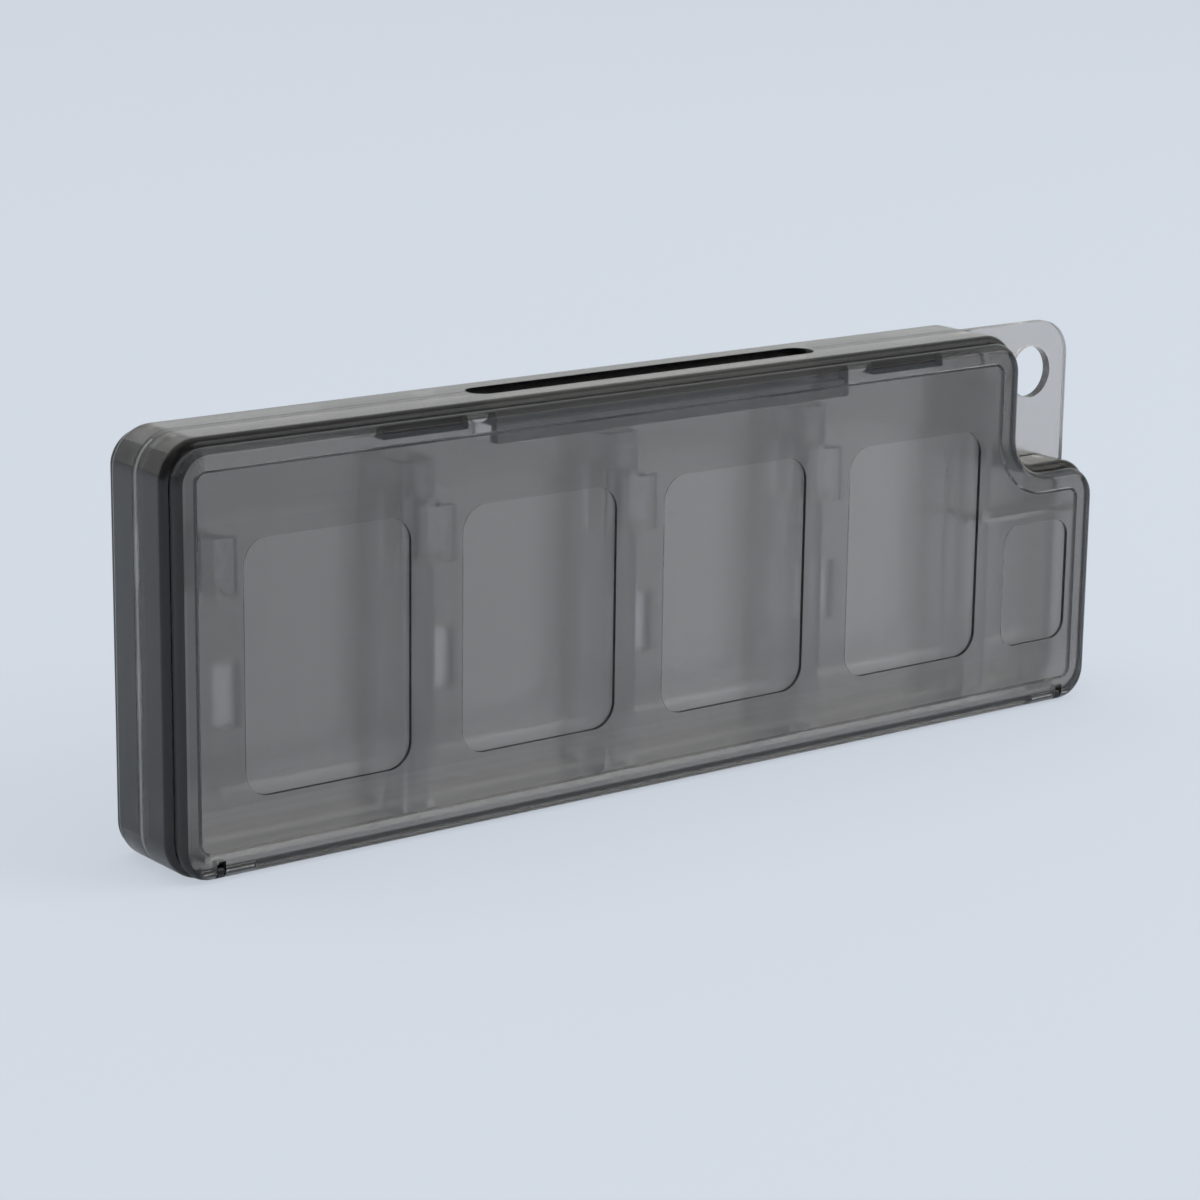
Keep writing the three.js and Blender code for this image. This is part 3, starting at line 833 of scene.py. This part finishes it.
# The end edges get a frosted copy that is also lighter: partly a frosted finish, partly a painted highlight
# along the side wall.
edge_painted_highlight_plastic = smoke_plastic(
    "frosted_edge_painted_highlight", skin_tint=(0.85, 0.86, 0.87), depth_tint=SMOKE, density=1.0,
    clarity=0.8, roughness=0.4, variation=0.05, marks=0.02)
# The eyelet's bore gets a near-black tint: painted shade inside the bore.
bore_painted_shade_plastic = smoke_plastic(
    "eyelet_bore_painted_shade", skin_tint=(0.1, 0.1, 0.1), depth_tint=SMOKE, density=1.0,
    clarity=1.0, roughness=0.2, variation=0.05, marks=0.02)
print("plastics:", lid_plastic.name, frame_plastic.name, tray_plastic.name)

# %% [markdown]
# ## Drawn wire
# The pins are dark wire, with fine lines along their length from the drawing die.
# Stretched noise gives the lines in the colour, and slower noise changes the gloss.

# %% Drawn wire material
WIRE_TINT, WIRE_LINE_TINT = (0.12, 0.12, 0.125, 1), (0.07, 0.07, 0.072, 1)

drawn_wire, tree, surface = new_material("drawn_wire")
surface.inputs["Metallic"].default_value = 1.0
wear = add_group(tree, handling_marks, Length_Scale=300.0, Amount=1.0)
lined = mix_tints(tree, wear.outputs["Marks"], WIRE_TINT, WIRE_LINE_TINT)
tree.links.new(lined, surface.inputs["Base Color"])
gloss = add_group(tree, moulded_face, Roughness=0.32, Variation=0.15)
tree.links.new(gloss.outputs["Roughness"], surface.inputs["Roughness"])
print("wire:", drawn_wire.name)

# %% [markdown]
# ## Painted shade and matt marks on the faces
# A lid's inside is matt. Its latch, the steep walls of its recesses, its hinge slots and its edges get
# painted shade, so they read as dark blocks and dark lines. The painted shade on its cavity floor thins
# toward the right end, and on its broad faces toward the foot, as painted light.
# Each could be a material of its own, but two absorbing materials on one shell confuse the light's way.
# So a lid or a frame keeps one material, and two marks on its faces say how much painted shade and how matt
# each face is.
# A face is told by where its centre lies and which way it looks. The tray hardly absorbs, so it can have
# a material for each of its finishes: its rails take a lighter copy as painted light, its end edges a frosted
# one with a painted highlight, and its eyelet's bore a near-black one as painted shade.

# %% Painted shade and matt marks on a lid
NEAR = 0.01 * MM
SIDEWAYS, STEEP, FLAT = 0.3, 0.8, 0.9  # shares of a face's normal
# Painted black is full painted shade with a fully matt finish.
CLEAR, PAINTED_BLACK_AND_MATT = (0.0, 0.0), (1.0, 1.0)  # how dark, how matt
# Heights and distances over which painted shade thins out as painted light: toward the foot, toward the
# crown, and away from the left end.
FOOT_FADE, CROWN_FADE = (5 * MM, 10 * MM), (38 * MM, 46 * MM)  # heights on the lid
RIM_FADE = (6 * MM, 3.5 * MM)  # distances from the left end
# How much painted shade the latch, the left rim, the edges, the outer face and the top of the edge get; the
# cavity floor's painted shade falls toward the right end as painted light.
FLANGE_PAINTED_SHADE_AND_MATT, LEFT_RIM_PAINTED_SHADE_AND_MATT, EDGE_PAINTED_SHADE_AND_MATT = 0.8, 0.65, 0.55
OUTER_MARK, TOP_EDGE_SHADE = 0.22, 0.86
FLOOR_SHADE, FLOOR_SHADE_FALL, CROWN_FALL, FLOOR_MATT = 0.52, 0.46, 0.3, 0.55


def fade(value, start, end):
    """0 before the start, 1 past the end, and even steps between them."""
    return min(max((value - start) / (end - start), 0.0), 1.0)


def in_label(centre):
    """Whether a place lies within a label recess, its rounded edge included."""
    return any(
        x0 - LABEL_EDGE < centre.x < x1 + LABEL_EDGE and z0 - LABEL_EDGE < centre.z < z1 + LABEL_EDGE
        for x0, x1, z0, z1, _ in labels
    )


def broad_face_finish(centre, depth):
    """The painted shade and matt of the latch, the cavity floor, the outer face or the rim, and None for
    other faces.
    """
    from_left = centre.x + CASE_LENGTH / 2
    above_foot = fade(centre.z, *FOOT_FADE)
    # The latch flange gets painted shade and its tongues are painted black, so they read as dark blocks
    # through the lid.
    if depth < LID_INNER - NEAR:
        return (FLANGE_PAINTED_SHADE_AND_MATT, FLANGE_PAINTED_SHADE_AND_MATT) if abs(centre.x) < LATCH_HALF + NEAR else PAINTED_BLACK_AND_MATT
    # The cavity floor's painted shade thins from the left end to the right, fades out at the foot and eases
    # near the crown: painted light.
    if abs(depth - CAVITY_FLOOR) < NEAR:
        shade = FLOOR_SHADE - FLOOR_SHADE_FALL * from_left / CASE_LENGTH
        return shade * above_foot * (1 - CROWN_FALL * fade(centre.z, *CROWN_FADE)), FLOOR_MATT
    # The outer face is a little darker, and that fades out toward the foot as painted light.
    if abs(depth - LID_OUTER) < NEAR:
        return OUTER_MARK * above_foot, OUTER_MARK
    # The rim gets painted shade at the left end only, a dark band along the lid's left edge.
    if abs(depth - LID_INNER) < NEAR:
        rim = LEFT_RIM_PAINTED_SHADE_AND_MATT * fade(from_left, *RIM_FADE)
        return rim, rim
    return None


def lid_finish(centre, outward):
    """How much painted shade and how matt a face of a lid is: broad faces first, then steep walls and edges.
    """
    depth, facing = abs(centre.y), abs(outward.y)
    broad = broad_face_finish(centre, depth)
    if broad:
        return broad
    # The cavity's left wall is painted black, so the rim's inner edge reads as a fine dark line: painted
    # shade.
    by_left_wall = centre.x + CASE_LENGTH / 2 < CAVITY_INSET + GROOVE
    if by_left_wall and outward.x > SIDEWAYS and facing < SIDEWAYS:
        return PAINTED_BLACK_AND_MATT
    # The right and bottom walls of the label recesses get painted shade and read as dark lines; the left and
    # top walls stay clear.
    if facing < STEEP and in_label(centre) and depth > LID_OUTER - LABEL_DEPTH:
        wall = max(0.0, -outward.x, outward.z)
        return wall, wall
    # The walls of the hinge slots are painted black, as shade in the slot.
    if abs(abs(centre.x) - LUG_X) < SLOT_WIDTH / 2 + NEAR and centre.z < SLOT_HEIGHT + NEAR:
        return PAINTED_BLACK_AND_MATT
    if facing > FLAT or in_label(centre):
        return CLEAR
    # The top of the lid's edge gets painted shade that hides its light reflection; the other edges get
    # painted shade, and those facing left are painted black.
    if outward.z > SIDEWAYS:
        return TOP_EDGE_SHADE, 0.0
    return PAINTED_BLACK_AND_MATT if outward.x < -SIDEWAYS else (EDGE_PAINTED_SHADE_AND_MATT, EDGE_PAINTED_SHADE_AND_MATT)


print("a lid's outer face is marked", OUTER_MARK, "and its cavity floor up to", FLOOR_SHADE)

# %% Painted shade and matt marks on a frame
END_WALL = WALL + 0.1 * MM
# Painted shade for the frame's left end wall, its slot walls, its top wall and its top front edge.
LEFT_END_PAINTED_SHADE_AND_MATT, SLOT_WALL_PAINTED_SHADE_AND_MATT, TOP_WALL_SHADE = 0.8, 0.9, 0.13
FRAME_EDGE_SHADE, FRAME_EDGE_MATT = 0.9, 0.5
ROUNDED, EDGE_FADE = 0.05, (1.0, 0.6)  # shares of a face's normal


def frame_finish(centre, outward):
    """How much painted shade and how matt a face of a frame is."""
    # The hinge lugs are painted black, as shade inside the lids' slots.
    if abs(centre.y) > FRAME_FACE + NEAR:
        return PAINTED_BLACK_AND_MATT  # hinge lug
    # The left end wall gets painted shade, so that end of the side wall reads darker.
    if centre.x < END_WALL - CASE_LENGTH / 2 and abs(outward.x) > SIDEWAYS:
        return LEFT_END_PAINTED_SHADE_AND_MATT, LEFT_END_PAINTED_SHADE_AND_MATT
    # The top wall gets a little painted shade, so the lit top reads less bright.
    if centre.z > CASE_HEIGHT - NEAR:
        return TOP_WALL_SHADE, 0.0
    # The rounded top front edge gets painted shade, a dark band along the top.
    on_edge = abs(outward.y) > ROUNDED and abs(centre.y) > FRAME_FACE - FRAME_EDGE
    if on_edge and centre.z > CASE_HEIGHT - WALL:
        return FRAME_EDGE_SHADE * fade(outward.z, *EDGE_FADE), FRAME_EDGE_MATT
    # The walls beside the release slot get painted shade, so the light through the slot reads darker.
    beside_slot = abs(centre.x) < SLOT_HALF_LENGTH and abs(centre.y) < SLOT_HALF_WIDTH + NEAR
    if beside_slot and centre.z > SLOT_BOTTOM and abs(outward.z) < SIDEWAYS:
        return SLOT_WALL_PAINTED_SHADE_AND_MATT, SLOT_WALL_PAINTED_SHADE_AND_MATT
    return CLEAR


def mark_faces(piece, finish):
    """Writes both marks on each face of a piece."""
    finishes = [finish(face.center, face.normal) for face in piece.data.polygons]
    for name, values in zip(("shade", "matt"), zip(*finishes)):
        piece.data.attributes.new(name, "FLOAT", "FACE").data.foreach_set("value", values)


print("a frame's left end wall is marked", LEFT_END_PAINTED_SHADE_AND_MATT)

# %% Finishes of the tray
PLATE, RAIL, PAINTED_HIGHLIGHT_END_EDGE, PAINTED_SHADE_BORE = range(4)
BORE_RIM = 0.1 * MM
WALL_FACING, END_FACING = 0.7, 0.5  # shares of a face's normal


def tray_finish(centre, outward):
    """Which of the tray's materials a face has."""
    from_eyelet = math.hypot(centre.x - EYELET[0], centre.z - EYELET[1])
    # The eyelet's bore carries the painted shade.
    if abs(outward.y) < WALL_FACING and from_eyelet < EYELET_RADIUS + BORE_RIM:
        return PAINTED_SHADE_BORE
    if abs(centre.y) >= PLATE_HALF + NEAR:
        return RAIL
    # The end edges carry the painted highlight.
    if abs(centre.y) < EDGE_LINE and abs(outward.x) > END_FACING and abs(centre.x) > FLOOR_END:
        return PAINTED_HIGHLIGHT_END_EDGE
    return PLATE


def finish_tray(piece):
    """Adds the tray's other materials and gives each face its own."""
    for material in (rib_painted_light_plastic, edge_painted_highlight_plastic, bore_painted_shade_plastic):
        piece.data.materials.append(material)
    for face in piece.data.polygons:
        face.material_index = tray_finish(face.center, face.normal)


print("finishes of the tray:", PAINTED_SHADE_BORE + 1)

# %% [markdown]
# ## Putting the pieces on their bodies
# Each shell stands for one imported solid and is parented to an empty named for that solid's body.
# The pins go with the lids. The list below says which shell stands for which solid.

# %% Dress the frame
dressing = [
    (card_tray, "card_tray", "case", tray_plastic, "tray_plastic"),
    (front_frame, "front_frame", "case", frame_plastic, "frame_plastic"),
    (rear_frame, "rear_frame", "case", frame_plastic, "frame_plastic"),
    (front_lid, "front_lid", "front_lid", lid_plastic, "lid_plastic"),
    (rear_lid, "rear_lid", "rear_lid", lid_plastic, "lid_plastic"),
]
dressing += [(pin, node, node.split("_")[0] + "_lid", drawn_wire, "pin_steel") for node, pin in pins.items()]

for piece, node, body, material, slot in dressing:
    soften(piece)
    piece.data.materials.clear()
    piece.data.materials.append(material)
    if material is lid_plastic:
        mark_faces(piece, lid_finish)
    elif material is frame_plastic:
        mark_faces(piece, frame_finish)
    elif material is tray_plastic:
        finish_tray(piece)
    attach(piece, body)
    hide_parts(node)
print("pieces dressed:", len(dressing))

# %% [markdown]
# ## Floor
# A pale floor runs past the edge of the view, so it is the background too.
# It takes the shadow, but it is a veil: most of the pale world below shows through it, because a lid that is
# folded right down hangs below the surface that the case stands on, and a solid floor would hide it.

# %% Floor
PALE_FLOOR = (0.631, 0.680, 0.753, 1.0)
FLOOR_HALF, FLOOR_ROUGHNESS = 8.0, 0.9
VEIL_SHARES = {"Is Camera Ray": 0.75, "Is Glossy Ray": 0.3, "Is Transmission Ray": 0.95}


def shows_to(tree, shares):
    """A value that depends on the kind of ray: each kind's own share."""
    path = tree.nodes.new("ShaderNodeLightPath")
    total = 0.0
    for kind, share in shares.items():
        total = maths(tree, "MAXIMUM", maths(tree, "MULTIPLY", path.outputs[kind], share), total)
    return total


def blend_shaders(tree, share, first, second, output):
    """Shows a share of the second shader and the rest of the first."""
    blend = tree.nodes.new("ShaderNodeMixShader")
    tree.links.new(share, blend.inputs["Fac"])
    tree.links.new(first, blend.inputs[1])
    tree.links.new(second, blend.inputs[2])
    tree.links.new(blend.outputs["Shader"], tree.nodes[output].inputs["Surface"])


floor_mesh = bmesh.new()
bmesh.ops.create_grid(floor_mesh, x_segments=2, y_segments=2, size=FLOOR_HALF)
floor = to_object("studio_floor", floor_mesh)
floor_paint, tree, surface = new_material("floor_paint")
surface.inputs["Base Color"].default_value = PALE_FLOOR
surface.inputs["Roughness"].default_value = FLOOR_ROUGHNESS
surface.inputs["Specular IOR Level"].default_value = 0.0
veil = tree.nodes.new("ShaderNodeBsdfTransparent")
shares = shows_to(tree, VEIL_SHARES)
blend_shaders(tree, shares, surface.outputs["BSDF"], veil.outputs["BSDF"], "Material Output")
floor.data.materials.append(floor_paint)
print("floor laid")

# %% [markdown]
# ## World and lamps
# Light is soft and even: an even sky fills the shadows, a broad lamp stands overhead and another at the side.
# What the camera sees of the world, directly, mirrored or through the plastic, is another picture:
# floor colour below the horizon, and above it a sky that is brightest behind the case.
# A mirrored lamp would be a hard white patch on the lid, so the lamps themselves aren't mirrored.

# %% World
SKY_FILL, SKY_STRENGTH = (0.97, 1.0, 1.0, 1.0), 0.6
SEEN_SKY, HORIZON = (0.97, 1.0, 0.99, 1.0), (-0.01, 0.01)
BEHIND_CASE = (0.6, 0.8, 0.0)
GLOW_FROM, GLOW_TO = (-0.2, 1.0), (0.15, 0.82)
SEEN_SHARES = {"Is Camera Ray": 1.0, "Is Glossy Ray": 1.0, "Is Transmission Ray": 1.0}

scene = bpy.context.scene
world = bpy.data.worlds.new("studio")
scene.world = world
world.use_nodes = True
tree = world.node_tree
sky = tree.nodes["Background"]
sky.inputs["Color"].default_value = SKY_FILL
sky.inputs["Strength"].default_value = SKY_STRENGTH
toward = tree.nodes.new("ShaderNodeTexCoord").outputs["Generated"]
across = tree.nodes.new("ShaderNodeVectorMath")
across.operation = "DOT_PRODUCT"
across.inputs[1].default_value = BEHIND_CASE
tree.links.new(toward, across.inputs[0])
glow = remap(tree, across.outputs["Value"], *GLOW_FROM, *GLOW_TO)
heights = tree.nodes.new("ShaderNodeSeparateXYZ")
tree.links.new(toward, heights.inputs["Vector"])
above = remap(tree, heights.outputs["Z"], *HORIZON)
seen = tree.nodes.new("ShaderNodeBackground")
tree.links.new(mix_tints(tree, above, PALE_FLOOR, SEEN_SKY), seen.inputs["Color"])
strength = tree.nodes.new("ShaderNodeMix")
strength.inputs["A"].default_value = 1.0
tree.links.new(above, strength.inputs["Factor"])
tree.links.new(glow, strength.inputs["B"])
tree.links.new(strength.outputs["Result"], seen.inputs["Strength"])
shares = shows_to(tree, SEEN_SHARES)
blend_shaders(tree, shares, sky.outputs["Background"], seen.outputs["Background"], "World Output")
print("world:", world.name)

# %% Lamps
OVERHEAD_STRENGTH, OVERHEAD_SPREAD, OVERHEAD_TILT = 1.0, 60, (-8, -10, 0)
SIDE_POWER, SIDE_SIZE, SIDE_PLACE = 12.0, 1.0, Vector((0.9, -0.8, 0.75))


def add_lamp(lamp):
    """Puts a lamp in the scene that lights the case and isn't mirrored in it."""
    stand = bpy.data.objects.new(lamp.name, lamp)
    stand.visible_glossy = False
    scene.collection.objects.link(stand)
    return stand


overhead_lamp = bpy.data.lights.new("overhead_softbox", "SUN")
overhead_lamp.energy = OVERHEAD_STRENGTH
overhead_lamp.angle = math.radians(OVERHEAD_SPREAD)
add_lamp(overhead_lamp).rotation_euler = [math.radians(tilt) for tilt in OVERHEAD_TILT]
side_lamp = bpy.data.lights.new("side_softbox", "AREA")
side_lamp.shape = "SQUARE"
side_lamp.size = SIDE_SIZE
side_lamp.energy = SIDE_POWER
side_box = add_lamp(side_lamp)
side_box.location = SIDE_PLACE
side_box.rotation_euler = (-SIDE_PLACE).to_track_quat("-Z", "Y").to_euler()

# %% [markdown]
# ## Camera
# The camera stands where the photograph was taken from, with a long lens and its small roll.
# Light crosses many walls on its way through a clear case, so it is followed through more of them than usual.

# %% Camera
SENSOR_WIDTH, LENS = 36.0, 105.42
CAMERA_PLACE = Vector((-0.26723, -0.33962, 0.13111))
CAMERA_FORWARD = Vector((0.59036, 0.76934, -0.24410))
CAMERA_ROLL = 0.76
WALLS_CROSSED = 32

camera_data = bpy.data.cameras.new("photo_camera")
camera_data.sensor_width = SENSOR_WIDTH
camera_data.lens = LENS
camera = bpy.data.objects.new("photo_camera", camera_data)
scene.collection.objects.link(camera)
turn = CAMERA_FORWARD.to_track_quat("-Z", "Y").to_matrix().to_4x4()
roll = Matrix.Rotation(math.radians(CAMERA_ROLL), 4, "Z")
camera.matrix_world = Matrix.Translation(CAMERA_PLACE) @ turn @ roll
scene.camera = camera
scene.view_settings.view_transform = "Standard"
scene.cycles.max_bounces = WALLS_CROSSED
scene.cycles.transmission_bounces = WALLS_CROSSED
print("camera at", tuple(round(v, 3) for v in CAMERA_PLACE))
